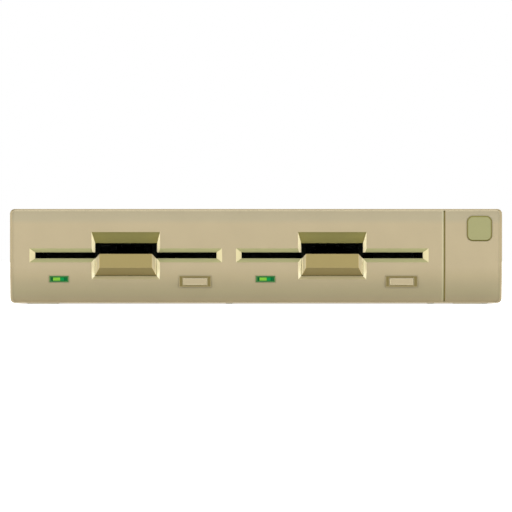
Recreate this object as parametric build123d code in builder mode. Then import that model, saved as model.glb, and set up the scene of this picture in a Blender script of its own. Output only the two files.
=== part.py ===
"""Twin five and a quarter inch floppy disk drive unit in one low case.

Millimetres. X runs to the right as seen from the front, the front faces -Y and Z is up.
The origin lies on the table under the middle of the whole unit.
Depths are counted back from the face of the front panel.
"""

import math
import os

from build123d import *

os.makedirs("parts", exist_ok=True)

# Case
case_width = 380.0
case_depth = 265.0
case_height = 72.6
case_wall = 2.5
case_corner = 3.6
back_corner = 4.0
seam_height = 27.0
tongue_height = 3.0
tongue_thickness = 1.2
foot_height = 1.2
foot_width = 22.0
foot_length = 12.0
foot_recess = 1.3
foot_chamfer = 0.6
foot_inset_x = 26.0
foot_inset_y = 24.0
vent_pitch = 11.0
vent_width = 3.4
back_vent_count = 16
back_vent_height = 19.0
back_vent_z = 53.0
floor_vent_count = 5
floor_vent_length = 49.0

# Front panels inside the rim of the case
rim_side = 1.5
rim_edge = 0.8
panel_corner = 3.0
panel_gap = 0.15
panel_inset = 0.5
panel_thickness = 3.0
chin_height = 25.8
chin_radius = 58.5
brow_height = 8.5
brow_radius = 60.5
profile_margin = 1.0
groove_share = 0.414
groove_gap = 0.9
groove_bevel = 0.9
groove_far_bevel = 0.5
groove_lip_depth = 1.6
groove_lip_reach = 2.4
badge_size = 19.3
badge_corner = 4.6
badge_thickness = 1.6
badge_proud = 0.5
badge_inset = 17.4
badge_z = 58.7

# Drive positions and the disk they take
left_gap_share = 0.1675
middle_gap_share = 0.1627
disk_size = 133.4
disk_z = 38.0
disk_front_depth = 15.3
track_zero_radius = 57.15
head_travel = 18.0

# Notch and slot in the front panel
notch_width = 52.9
notch_bottom = 19.0
notch_top = 56.0
throat_width = 47.9
throat_bottom = 22.1
throat_top = 47.5
notch_depth = 12.0
notch_wall = 1.8
slot_length = 140.2
slot_height = 4.66
slot_flare = 3.07
slot_flare_ends = 4.25
slot_flare_depth = 4.0
slot_wall = 1.6

# Lamp and push button beside the notch
lamp_width = 15.4
lamp_height = 4.9
lamp_offset = -51.6
lamp_z = 19.7
lamp_length = 9.0
lamp_lip = 1.0
button_frame_width = 24.7
button_frame_height = 8.5
button_frame_length = 9.0
button_frame_proud = 0.4
button_width = 18.2
button_height = 5.0
button_proud = 0.7
button_offset = 53.5
button_z = 17.8
button_gap = 0.25
button_travel = 1.5
button_crown = 0.5
button_bevel = 0.5
plunger_size = 3.0
plunger_length = 8.0
switch_width = 9.0
switch_length = 8.0
switch_drop = 12.0

# Latch handle, its gooseneck bracket and shaft
nose_reach = 3.0
nose_half_width = 20.35
nose_bottom = 28.5
nose_top = 39.1
handle_shelf_top = 35.7
handle_gap = 0.3
handle_shoulder_depth = 3.0
handle_base_depth = 10.0
handle_plate = 3.0
handle_wall = 2.0
bracket_plate = 1.6
gooseneck_width = 3.0
latch_depth = 17.0
latch_z = 52.0
latch_shaft_radius = 2.0
latch_boss_radius = 3.6
latch_boss_flat = 1.5
neck_front_gap = 1.2
neck_disk_gap = 1.1
neck_lean = 1.6
neck_drop = 7.5
neck_throat = 3.2
cam_width = 6.0
cam_radius = 3.6
cam_reach = 6.2
cam_tip_radius = 1.5
cam_lift_angle = 30.0

# Mechanism frame
frame_width = 146.0
frame_front_depth = 13.0
frame_length = 204.0
frame_bottom = 15.0
frame_height = 42.0
frame_wall = 3.0
deck_z = 26.0
deck_thickness = 3.0
deck_notch_width = 56.0
deck_notch_depth = 24.0
bulkhead_depth = 188.0
bulkhead_thickness = 3.0
bulkhead_top = 50.0
window_count = 3
window_pitch = 44.0
window_length = 34.0
window_height = 10.0
window_shift = 16.0
deck_hole_length = 26.0
deck_hole_width = 20.0
deck_hole_x = 45.0
deck_hole_ahead = 30.0
mount_lug_width = 9.0
mount_lug_length = 12.0
mount_lug_height = 5.0
mount_lug_pitch = 150.0
lug_seat_length = 10.0

# Spindle and flat motor under the deck
spindle_shaft_radius = 3.0
hub_radius = 17.0
hub_mouth_radius = 14.2
hub_seat_drop = 0.5
hub_thickness = 4.4
hub_recess = 3.0
bearing_size = 14.0
bearing_flange_size = 22.0
bearing_flange = 1.6
bearing_length = 9.0
bearing_play = 0.3
running_fit = 0.05
motor_board_width = 104.0
motor_board_length = 92.0
motor_board_drop = 2.6
board_thickness = 1.6
coil_count = 6
coil_inner = 16.0
coil_outer = 33.0
coil_thickness = 1.6
coil_band = 3.0
rotor_radius = 36.0
rotor_thickness = 3.9
rotor_gap = 0.5

# Clamp arm and hub over the spindle
clamp_pivot_depth = 34.0
clamp_pivot_z = 47.2
clamp_plate = 2.0
clamp_plate_z = 46.2
clamp_flange_height = 4.5
clamp_flange = 1.5
clamp_bar_depth = 9.0
clamp_nose_radius = 19.0
clamp_nose_sides = 8
clamp_root_width = 64.6
clamp_side_gap = 1.0
clamp_tab_length = 5.0
clamp_tab_gap = 0.35
clamp_tail = 8.0
clamp_window_length = 12.0
clamp_window_width = 24.0
clamp_hub_stem_radius = 3.0
clamp_hub_radius = 15.5
clamp_hub_lift = 0.5
clamp_hub_body_height = 3.4
clamp_hub_nose_radius = 12.5
clamp_hub_nose_height = 2.4
clamp_hub_fingers = 12
clamp_hub_stem_proud = 2.0

# Head carriage, rods, lead screw and stepper motor
rod_radius = 2.0
rod_spacing = 32.0
rod_z = 32.0
carriage_front_gap = 7.15
rod_block_length = 7.0
rod_block_width = 9.0
rod_block_cheek = 1.0
carriage_width = 42.0
carriage_front = 9.0
carriage_back = 38.0
carriage_bottom = 27.5
carriage_top = 36.0
head_size = 5.0
lower_head_top = 37.4
upper_head_bottom = 38.4
arm_z = 41.0
arm_thickness = 3.2
arm_half_width = 7.6
arm_tip_half_width = 4.5
arm_pivot_back = 32.0
arm_block_length = 6.0
arm_tab_length = 4.0
arm_tab_gap = 0.35
tower_width = 3.0
tower_length = 10.0
tower_rise = 3.0
tower_gap = 0.35
screw_x = 29.0
screw_radius = 2.5
screw_gap = 0.3
nut_edge_x = 34.5
nut_length = 12.0
carriage_window_width = 16.0
carriage_window_length = 14.0
carriage_window_back = 14.0
deck_window_left = 23.0
deck_window_right = 36.0
motor_size = 31.0
motor_corner = 6.0
motor_length = 22.0
motor_window = 13.0
shaft_end_gap = 0.3

# Disk guides
guide_width = 6.5
guide_height = 9.0
guide_length = 130.0
guide_groove = 3.4
guide_side_gap = 0.4
guide_lead_in = 1.5

# Boards and chips over each mechanism and in the end bay
board_z = 60.5
board_length = 100.0
board_inset = 1.0
board_post = 5.0
board_post_drop = 9.0
board_back_margin = 4.0
board_post_inset = 5.0
chip_length = 20.0
chip_width = 7.5
chip_height = 3.6
bay_board_share = 0.72
bay_board_length = 190.0
bay_board_standoff = 5.0
bay_post_inset = 20.0
chip_columns = 4
chip_rows = 3
chip_step_x = 32.0
chip_step_y = 28.0
bay_chip_rows = 5
bay_chip_step = 26.0
bay_chip_shift = 12.0

# Rear data connector
flange_side_gap = 6.0
flange_width = 53.0
flange_height = 12.5
flange_thickness = 1.0
shell_width = 39.0
shell_height = 8.4
shell_slant = 10.0
shell_length = 5.8
shell_sheet = 0.5
jack_spacing = 47.0
jack_hex = 4.8
jack_length = 5.0
jack_hole_radius = 1.25
shell_corner = 1.0
cutout_gap = 0.5
insert_drop = 0.6

# Places worked out from the sizes above
case_bottom = foot_height
case_top = case_bottom + case_height
case_middle_z = case_bottom + case_height / 2
seam_z = case_bottom + seam_height
case_front_y = (nose_reach - jack_length - case_depth) / 2
case_back_y = case_front_y + case_depth
floor_z = case_bottom + case_wall
panel_y = case_front_y + panel_inset
case_inner_x = case_width / 2 - case_wall
spare_width = 2 * (case_inner_x - frame_width)
left_frame_x = left_gap_share * spare_width - case_inner_x
left_drive_x = left_frame_x + frame_width / 2
right_drive_x = left_drive_x + frame_width + middle_gap_share * spare_width
bay_left_x = right_drive_x + frame_width / 2
bay_board_x = (bay_left_x + case_inner_x) / 2
bay_board_width = bay_board_share * (case_inner_x - bay_left_x)
connector_x = case_inner_x - flange_side_gap - flange_width / 2
badge_x = case_width / 2 - badge_inset
slot_mouth_width = slot_length + 2 * slot_flare_ends
slot_end_x = right_drive_x + slot_mouth_width / 2
badge_left_x = badge_x - badge_size / 2
groove_x = slot_end_x + groove_share * (badge_left_x - slot_end_x)
frame_front_y = panel_y + frame_front_depth
frame_back_y = frame_front_y + frame_length
frame_middle_y = (frame_front_y + frame_back_y) / 2
frame_top = frame_bottom + frame_height
frame_inner = frame_width / 2 - frame_wall
spindle_y = panel_y + disk_front_depth + disk_size / 2
head_y = spindle_y + track_zero_radius
latch_y = panel_y + latch_depth
clamp_y = panel_y + clamp_pivot_depth
carriage_end_y = head_y - head_travel - carriage_front
rod_front_y = carriage_end_y - carriage_front_gap - rod_block_length
bulkhead_y = panel_y + bulkhead_depth
deck_top = deck_z + deck_thickness
hub_top = disk_z - hub_seat_drop
motor_board_z = deck_z - motor_board_drop - board_thickness
coil_z = motor_board_z - coil_thickness
rotor_z = coil_z - rotor_gap - rotor_thickness
arm_pivot_y = head_y + arm_pivot_back
board_middle_y = frame_back_y - board_back_margin - board_length / 2
bay_board_z = floor_z + bay_board_standoff
connector_z = bay_board_z + board_thickness + flange_height / 2
flange_y = case_back_y - case_wall - flange_thickness
bay_board_middle_y = flange_y - bay_board_length / 2
slot_bottom = disk_z - slot_height / 2
slot_top = disk_z + slot_height / 2
chin_setback = chin_radius - math.sqrt(chin_radius**2 - chin_height**2)
BACK = (0, 1, 0)


def facing(depth):
    """Plane parallel to the front panel's face, a given depth behind it."""
    return Plane.XZ.offset(-(panel_y + depth))


def across(y):
    """Plane across the unit at a given y."""
    return Plane.XZ.offset(-y)


def arc_run(radius, rise):
    """How far an arc that starts upright has run back where it has risen that much."""
    return radius - math.sqrt(radius**2 - rise**2)


def side_profile(setback):
    """Side outline of the case past its floor, the front face moved back by the setback."""
    front = case_front_y + setback
    low = case_bottom - profile_margin
    high = case_top + profile_margin
    chin_run = arc_run(chin_radius, chin_height + profile_margin)
    brow_run = arc_run(brow_radius, brow_height + profile_margin)
    with BuildSketch(Plane.YZ) as outline:
        with BuildLine():
            chin = TangentArc(
                (front, case_bottom + chin_height), (front + chin_run, low), tangent=(0, -1)
            )
            corner = TangentArc(
                (case_back_y, case_top - back_corner),
                (case_back_y - back_corner, case_top),
                tangent=(0, 1),
            )
            brow = TangentArc(
                (front, case_top - brow_height), (front + brow_run, high), tangent=(0, 1)
            )
            Polyline(chin @ 1, (case_back_y, low), corner @ 0)
            Polyline(corner @ 1, (case_back_y - back_corner, high), brow @ 1)
            Line(brow @ 0, chin @ 0)
        make_face()
    return outline.sketch


def front_outline(inset_side, inset_edge, radius):
    """Rounded front outline of the case on the rim's plane, drawn smaller by the insets."""
    with BuildSketch(across(case_front_y)) as outline:
        with Locations((0, case_middle_z)):
            RectangleRounded(
                case_width - 2 * inset_side, case_height - 2 * inset_edge, radius
            )
    return outline.sketch


def rectangle_at(depth, width, bottom, top):
    """One rectangle across the front at a depth, from its width and heights."""
    with BuildSketch(facing(depth)) as outline:
        with Locations((0, (bottom + top) / 2)):
            Rectangle(width, top - bottom)
    return outline.sketch


def tapered_box(near, far):
    """Flat-sided body between two rectangles, each a depth, width, bottom and top."""
    near_depth, near_width, near_bottom, near_top = near
    far_depth, far_width, far_bottom, far_top = far
    near_y = panel_y + near_depth
    far_y = panel_y + far_depth
    with BuildPart() as body:
        with BuildSketch(Plane.YZ):
            with BuildLine():
                Polyline(
                    (near_y, near_bottom),
                    (near_y, near_top),
                    (far_y, far_top),
                    (far_y, far_bottom),
                    close=True,
                )
            make_face()
        extrude(amount=max(near_width, far_width), both=True)
        with BuildSketch(Plane.XY):
            with BuildLine():
                Polyline(
                    (-near_width / 2, near_y),
                    (near_width / 2, near_y),
                    (far_width / 2, far_y),
                    (-far_width / 2, far_y),
                    close=True,
                )
            make_face()
        extrude(amount=case_height, mode=Mode.INTERSECT)
    return body.part


def save(piece, label, x=0.0):
    """Write one piece, moved sideways to its place."""
    placed = Pos(x, 0, 0) * piece
    placed.label = label
    export_step(placed, f"parts/{label}.step")


def save_pair(piece, label):
    """Write a piece that both drives hold."""
    save(piece, f"left_{label}", left_drive_x)
    save(piece, f"right_{label}", right_drive_x)


# Blank that both front panels are cut from, a curved plate inside the rim
blank_depth = chin_setback + 2 * panel_thickness
with BuildPart() as panel_blank:
    outline = front_outline(
        rim_side + panel_gap, rim_edge + panel_gap, panel_corner - panel_gap
    )
    extrude(outline, amount=blank_depth, dir=BACK)
    front = side_profile(panel_inset)
    extrude(front, amount=case_width, both=True, mode=Mode.INTERSECT)
    back = side_profile(panel_inset + panel_thickness)
    extrude(back, amount=case_width, both=True, mode=Mode.SUBTRACT)

# Seat for the panels in the mouth of the case
with BuildPart() as panel_seat:
    outline = front_outline(rim_side, rim_edge, panel_corner)
    extrude(outline, amount=blank_depth, dir=BACK)
    extrude(back, amount=case_width, both=True, mode=Mode.SUBTRACT)

# Whole case shell before it is parted at the seam
with BuildPart() as case_shell:
    extrude(front_outline(0, 0, case_corner), amount=case_depth, dir=BACK)
    extrude(side_profile(0), amount=case_width, both=True, mode=Mode.INTERSECT)
    hollow = front_outline(case_wall, case_wall, case_corner - case_wall)
    extrude(hollow, amount=case_depth - case_wall, dir=BACK, mode=Mode.SUBTRACT)
    add(panel_seat.part, mode=Mode.SUBTRACT)

# Top cover with cooling slots in its back wall
with BuildPart() as top_cover:
    add(case_shell.part)
    split(bisect_by=Plane.XY.offset(seam_z), keep=Keep.TOP)
    with BuildSketch(across(case_back_y)):
        with Locations((0, back_vent_z)):
            with GridLocations(vent_pitch, 0, back_vent_count, 1):
                Rectangle(vent_width, back_vent_height)
    extrude(amount=case_wall, mode=Mode.SUBTRACT)
save(top_cover.part, "top_cover")

foot_places = [
    (side * (case_width / 2 - foot_inset_x), y)
    for side in (-1, 1)
    for y in (
        case_front_y + chin_setback + foot_inset_y,
        case_back_y - foot_inset_y,
    )
]
lug_ys = (
    frame_middle_y - mount_lug_pitch / 2,
    frame_middle_y + mount_lug_pitch / 2,
)
lug_x = frame_width / 2 - mount_lug_width / 2

# Base pan with a locating tongue, seats for the frames and posts for the board
with BuildPart() as base_pan:
    add(case_shell.part)
    split(bisect_by=Plane.XY.offset(seam_z), keep=Keep.BOTTOM)
    tongue_front_y = frame_front_y
    tongue_back_y = case_back_y - case_wall
    tongue_half = case_width / 2 - case_wall
    with BuildSketch(Plane.XY.offset(seam_z - tongue_height)):
        with BuildLine():
            Polyline(
                (-tongue_half, tongue_front_y),
                (-tongue_half, tongue_back_y),
                (tongue_half, tongue_back_y),
                (tongue_half, tongue_front_y),
                (tongue_half - tongue_thickness, tongue_front_y),
                (tongue_half - tongue_thickness, tongue_back_y - tongue_thickness),
                (tongue_thickness - tongue_half, tongue_back_y - tongue_thickness),
                (tongue_thickness - tongue_half, tongue_front_y),
                close=True,
            )
        make_face()
    extrude(amount=2 * tongue_height)
    with BuildSketch(Plane.XY.offset(floor_z)):
        for drive_x in (left_drive_x, right_drive_x):
            for y in lug_ys:
                with Locations((drive_x - lug_x, y), (drive_x + lug_x, y)):
                    Rectangle(mount_lug_width, lug_seat_length)
    extrude(amount=frame_bottom - floor_z)
    with BuildSketch(Plane.XY.offset(floor_z)):
        with Locations((bay_board_x, bay_board_middle_y)):
            with GridLocations(
                bay_board_width - 2 * board_post_inset,
                bay_board_length - 2 * bay_post_inset,
                2,
                2,
            ):
                Rectangle(board_post, board_post)
    extrude(amount=bay_board_standoff)
    with BuildSketch(Plane.XY.offset(case_bottom)):
        with Locations(*foot_places):
            Rectangle(foot_width + 2 * panel_gap, foot_length + 2 * panel_gap)
    extrude(amount=foot_recess, mode=Mode.SUBTRACT)
    with BuildSketch(Plane.XY.offset(case_bottom)):
        with Locations((left_drive_x, spindle_y), (right_drive_x, spindle_y)):
            with GridLocations(vent_pitch, 0, floor_vent_count, 1):
                Rectangle(vent_width, floor_vent_length)
    extrude(amount=case_wall, mode=Mode.SUBTRACT)
    with BuildSketch(across(case_back_y)):
        with Locations((connector_x, connector_z)):
            Rectangle(shell_width + 2 * cutout_gap, shell_height + 2 * cutout_gap)
    extrude(amount=case_wall, mode=Mode.SUBTRACT)
save(base_pan.part, "base_pan")

# Rubber feet let into the underside
with BuildPart() as feet:
    with BuildSketch():
        with Locations(*foot_places):
            Rectangle(foot_width, foot_length)
    extrude(amount=foot_height + foot_recess)
    chamfer(feet.edges().group_by(Axis.Z)[0], foot_chamfer)
save(feet.part, "feet")

# Notch for the latch handle: deep slopes over the slot, short bevels below it
with BuildPart() as notch_space:
    notch_above = tapered_box(
        (0, notch_width, disk_z, notch_top),
        (notch_depth, throat_width, disk_z, throat_top),
    )
    notch_below = tapered_box(
        (0, notch_width, notch_bottom, disk_z),
        (slot_flare_depth, throat_width, throat_bottom, disk_z),
    )
    add(notch_above)
    add(notch_below)
    notch_throat = rectangle_at(slot_flare_depth, throat_width, throat_bottom, disk_z)
    extrude(notch_throat, amount=notch_depth - slot_flare_depth, dir=BACK)

# Lip of the end panel that passes behind the front panel's edge, and its space
lip_setback = panel_inset + groove_lip_depth
with BuildPart() as panel_lip:
    add(panel_blank.part)
    split(bisect_by=Plane.YZ.offset(groove_x - groove_lip_reach), keep=Keep.TOP)
    split(bisect_by=Plane.YZ.offset(groove_x + groove_gap / 2), keep=Keep.BOTTOM)
    lip_front = side_profile(lip_setback)
    extrude(lip_front, amount=case_width, both=True, mode=Mode.INTERSECT)

with BuildPart() as lip_space:
    extrude(side_profile(lip_setback - panel_gap), amount=case_width, both=True)
    lip_end_x = groove_x - groove_lip_reach - panel_gap
    split(bisect_by=Plane.YZ.offset(lip_end_x), keep=Keep.TOP)

# Flared slot that the disk goes through
with BuildPart() as slot_space:
    slot_flared = tapered_box(
        (0, slot_mouth_width, slot_bottom - slot_flare, slot_top + slot_flare),
        (slot_flare_depth, slot_length, slot_bottom, slot_top),
    )
    add(slot_flared)
    slot_throat = rectangle_at(slot_flare_depth, slot_length, slot_bottom, slot_top)
    extrude(slot_throat, amount=notch_depth, dir=BACK)

# Front panel: curved plate with a moulded throat behind each notch and slot
throat_overlap = panel_thickness / 4
with BuildPart() as front_bezel:
    add(panel_blank.part)
    split(bisect_by=Plane.YZ.offset(groove_x - groove_gap / 2), keep=Keep.BOTTOM)
    right_end = front_bezel.faces().sort_by(Axis.X)[-1].edges()
    right_end = right_end.filter_by(lambda edge: edge.length > 2 * panel_thickness)
    chamfer(right_end.sort_by(Axis.Y)[:3], groove_bevel)
    add(lip_space.part, mode=Mode.SUBTRACT)
    for drive_x in (left_drive_x, right_drive_x):
        with BuildSketch(facing(panel_thickness - throat_overlap)):
            with Locations((drive_x, (notch_top + notch_bottom) / 2)):
                Rectangle(
                    notch_width + 2 * notch_wall,
                    notch_top - notch_bottom + 2 * notch_wall,
                )
            with Locations((drive_x, disk_z)):
                Rectangle(
                    slot_mouth_width, slot_height + 2 * slot_flare + 2 * slot_wall
                )
        extrude(amount=notch_depth - panel_thickness + throat_overlap, dir=BACK)
        add(Pos(drive_x, 0, 0) * notch_space.part, mode=Mode.SUBTRACT)
        add(Pos(drive_x, 0, 0) * slot_space.part, mode=Mode.SUBTRACT)
        with BuildSketch(facing(0)):
            with Locations((drive_x + lamp_offset, lamp_z)):
                Rectangle(lamp_width + 2 * panel_gap, lamp_height + 2 * panel_gap)
            with Locations((drive_x + button_offset, button_z)):
                Rectangle(
                    button_frame_width + 2 * panel_gap,
                    button_frame_height + 2 * panel_gap,
                )
        extrude(amount=blank_depth, dir=BACK, mode=Mode.SUBTRACT)
save(front_bezel.part, "front_bezel")

# Plain end panel right of the groove, with a shallow seat for the badge
with BuildPart() as end_panel:
    add(panel_blank.part)
    split(bisect_by=Plane.YZ.offset(groove_x + groove_gap / 2), keep=Keep.TOP)
    left_end = end_panel.faces().sort_by(Axis.X)[0].edges()
    left_end = left_end.filter_by(lambda edge: edge.length > 2 * panel_thickness)
    chamfer(left_end.sort_by(Axis.Y)[:3], groove_far_bevel)
    add(panel_lip.part)
    with BuildSketch(facing(0)):
        with Locations((badge_x, badge_z)):
            RectangleRounded(
                badge_size + 2 * panel_gap, badge_size + 2 * panel_gap, badge_corner
            )
    extrude(amount=badge_thickness - badge_proud, dir=BACK, mode=Mode.SUBTRACT)
save(end_panel.part, "end_panel")

# Blank badge
with BuildPart() as badge:
    with BuildSketch(facing(-badge_proud)):
        with Locations((badge_x, badge_z)):
            RectangleRounded(badge_size, badge_size, badge_corner)
    extrude(amount=badge_thickness, dir=BACK)
save(badge.part, "badge")

# Rectangular lamp held from behind by a small lip
with BuildPart() as activity_lamp:
    with BuildSketch(facing(0)):
        with Locations((lamp_offset, lamp_z)):
            Rectangle(lamp_width, lamp_height)
    extrude(amount=lamp_length, dir=BACK)
    with BuildSketch(facing(panel_thickness + lamp_lip)):
        with Locations((lamp_offset, lamp_z)):
            Rectangle(lamp_width + 2 * lamp_lip, lamp_height + 2 * lamp_lip)
    extrude(amount=lamp_lip, dir=BACK)
save_pair(activity_lamp.part, "activity_lamp")

# Button surround, a rectangular tube through the panel
with BuildPart() as button_frame:
    with BuildSketch(facing(-button_frame_proud)):
        with Locations((button_offset, button_z)):
            Rectangle(button_frame_width, button_frame_height)
            Rectangle(
                button_width + 2 * button_gap,
                button_height + 2 * button_gap,
                mode=Mode.SUBTRACT,
            )
    extrude(amount=button_frame_length, dir=BACK)
save_pair(button_frame.part, "button_frame")

# Push button with a crowned face and a plunger towards its switch
button_front_y = panel_y - button_frame_proud - button_proud
button_left = button_offset - button_width / 2
button_right = button_offset + button_width / 2
plunger_depth = button_frame_length - button_frame_proud
with BuildPart() as push_button:
    with BuildSketch(Plane.XY.offset(button_z - button_height / 2)):
        with BuildLine():
            crown = ThreePointArc(
                (button_left, button_front_y + button_crown),
                (button_offset, button_front_y),
                (button_right, button_front_y + button_crown),
            )
            Polyline(
                crown @ 0,
                (button_left, panel_y + plunger_depth),
                (button_right, panel_y + plunger_depth),
                crown @ 1,
            )
        make_face()
    extrude(amount=button_height)
    chamfer(push_button.faces().sort_by(Axis.Y)[0].edges(), button_bevel)
    with BuildSketch(facing(plunger_depth)):
        with Locations((button_offset, button_z)):
            Rectangle(plunger_size, plunger_size)
    extrude(amount=plunger_length, dir=BACK)
save_pair(push_button.part, "push_button")

# Switch under the deck that the plunger presses
switch_depth = plunger_depth + plunger_length + button_travel + button_gap
with BuildPart() as button_switch:
    with BuildSketch(facing(switch_depth)):
        with Locations((button_offset, deck_z - switch_drop / 2)):
            Rectangle(switch_width, switch_drop)
    extrude(amount=switch_length, dir=BACK)
save_pair(button_switch.part, "button_switch")

# Latch handle: a hollow nose with bevelled sides on a box that fills the notch
base_width = throat_width - 2 * handle_gap
base_bottom = throat_bottom + handle_gap
nose_depth = -nose_reach - panel_inset
back_depth = handle_base_depth + handle_plate
base_length = back_depth - handle_shoulder_depth


def handle_form(wall):
    """The handle's outer form, or with a wall thickness the hollow inside it."""
    base = (
        handle_shoulder_depth,
        base_width - 2 * wall,
        base_bottom + wall,
        handle_shelf_top - wall,
    )
    with BuildPart() as form:
        nose = tapered_box(
            (
                nose_depth + wall,
                2 * (nose_half_width - wall),
                nose_bottom + wall,
                nose_top - wall,
            ),
            base,
        )
        add(nose)
        extrude(rectangle_at(*base), amount=base_length, dir=BACK)
    return form.part


with BuildPart() as latch_handle:
    add(handle_form(0))
    add(handle_form(handle_wall), mode=Mode.SUBTRACT)
save_pair(latch_handle.part, "latch_handle")

# Round-bottomed slot, open upwards, that the latch shaft lies in
with BuildSketch(Plane.YZ) as shaft_slot:
    with Locations((latch_y, latch_z)):
        Circle(latch_shaft_radius + running_fit)
        Rectangle(
            2 * (latch_shaft_radius + running_fit),
            2 * latch_boss_radius,
            align=(Align.CENTER, Align.MIN),
        )

# Gooseneck bracket: reaches over the disk's edge and round the lip of the notch
neck_front_y = panel_y + handle_base_depth + neck_front_gap
neck_back_y = panel_y + disk_front_depth - neck_disk_gap
bracket_front_y = panel_y + back_depth
bracket_back_y = bracket_front_y + bracket_plate
bracket_bottom = base_bottom + handle_wall
bracket_top = handle_shelf_top - handle_wall
shelf_clear = handle_shelf_top + handle_gap
boss_front_y = latch_y - latch_boss_radius
boss_back_y = latch_y + latch_boss_radius
boss_top = latch_z + latch_boss_radius
with BuildPart() as latch_bracket:
    with BuildSketch(Plane.YZ.offset(base_width / 2 - gooseneck_width)):
        with BuildLine():
            Polyline(
                (bracket_front_y, bracket_bottom),
                (bracket_front_y, shelf_clear),
                (neck_front_y, shelf_clear),
                (neck_front_y, slot_top),
                (latch_y + neck_lean, latch_z - neck_drop),
                (latch_y + neck_lean, latch_z - neck_throat),
                (boss_front_y, latch_z - latch_boss_flat),
                (boss_front_y, latch_z + latch_boss_flat),
                (latch_y - latch_boss_flat, boss_top),
                (latch_y + latch_boss_flat, boss_top),
                (boss_back_y, latch_z + latch_boss_flat),
                (boss_back_y + neck_lean, latch_z - neck_drop),
                (neck_back_y, slot_top),
                (neck_back_y, bracket_top),
                (bracket_back_y, bracket_top - handle_wall / 2),
                (bracket_back_y, bracket_bottom),
                close=True,
            )
        make_face()
    extrude(amount=gooseneck_width)
    mirror(about=Plane.YZ)
    plate = rectangle_at(back_depth, base_width, bracket_bottom, bracket_top)
    extrude(plate, amount=bracket_plate, dir=BACK)
    extrude(shaft_slot.sketch, amount=base_width, both=True, mode=Mode.SUBTRACT)
save_pair(latch_bracket.part, "latch_bracket")

# Latch shaft with a cam in its middle that tips the clamp arm
with BuildPart() as latch_shaft:
    with BuildSketch(Plane.YZ):
        with Locations((latch_y, latch_z)):
            Circle(latch_shaft_radius)
    extrude(amount=frame_width / 2 - shaft_end_gap, both=True)
    with BuildSketch(Plane.YZ):
        with Locations((latch_y, latch_z)):
            Polygon(
                (-cam_radius, -cam_radius / 2),
                (0, -cam_radius),
                (cam_reach, -cam_tip_radius),
                (cam_reach + cam_tip_radius, 0),
                (cam_reach, cam_tip_radius),
                (0, cam_radius),
                (-cam_radius, cam_radius / 2),
                rotation=cam_lift_angle,
                align=None,
            )
    extrude(amount=cam_width / 2, both=True)
save_pair(latch_shaft.part, "latch_shaft")


def cradle_outline(y, bottom):
    """Front view of the two blocks that the rods lie in, their slots open at the top."""
    block_top = rod_z + rod_radius + rod_block_cheek
    slot_floor = rod_z - rod_radius
    with BuildSketch(across(y)) as outline:
        with Locations((0, (bottom + block_top) / 2)):
            with GridLocations(rod_spacing, 0, 2, 1):
                Rectangle(rod_block_width, block_top - bottom)
        with Locations((0, (slot_floor + block_top) / 2)):
            with GridLocations(rod_spacing, 0, 2, 1):
                Rectangle(
                    2 * (rod_radius + running_fit),
                    block_top - slot_floor,
                    mode=Mode.SUBTRACT,
                )
    return outline.sketch


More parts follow.
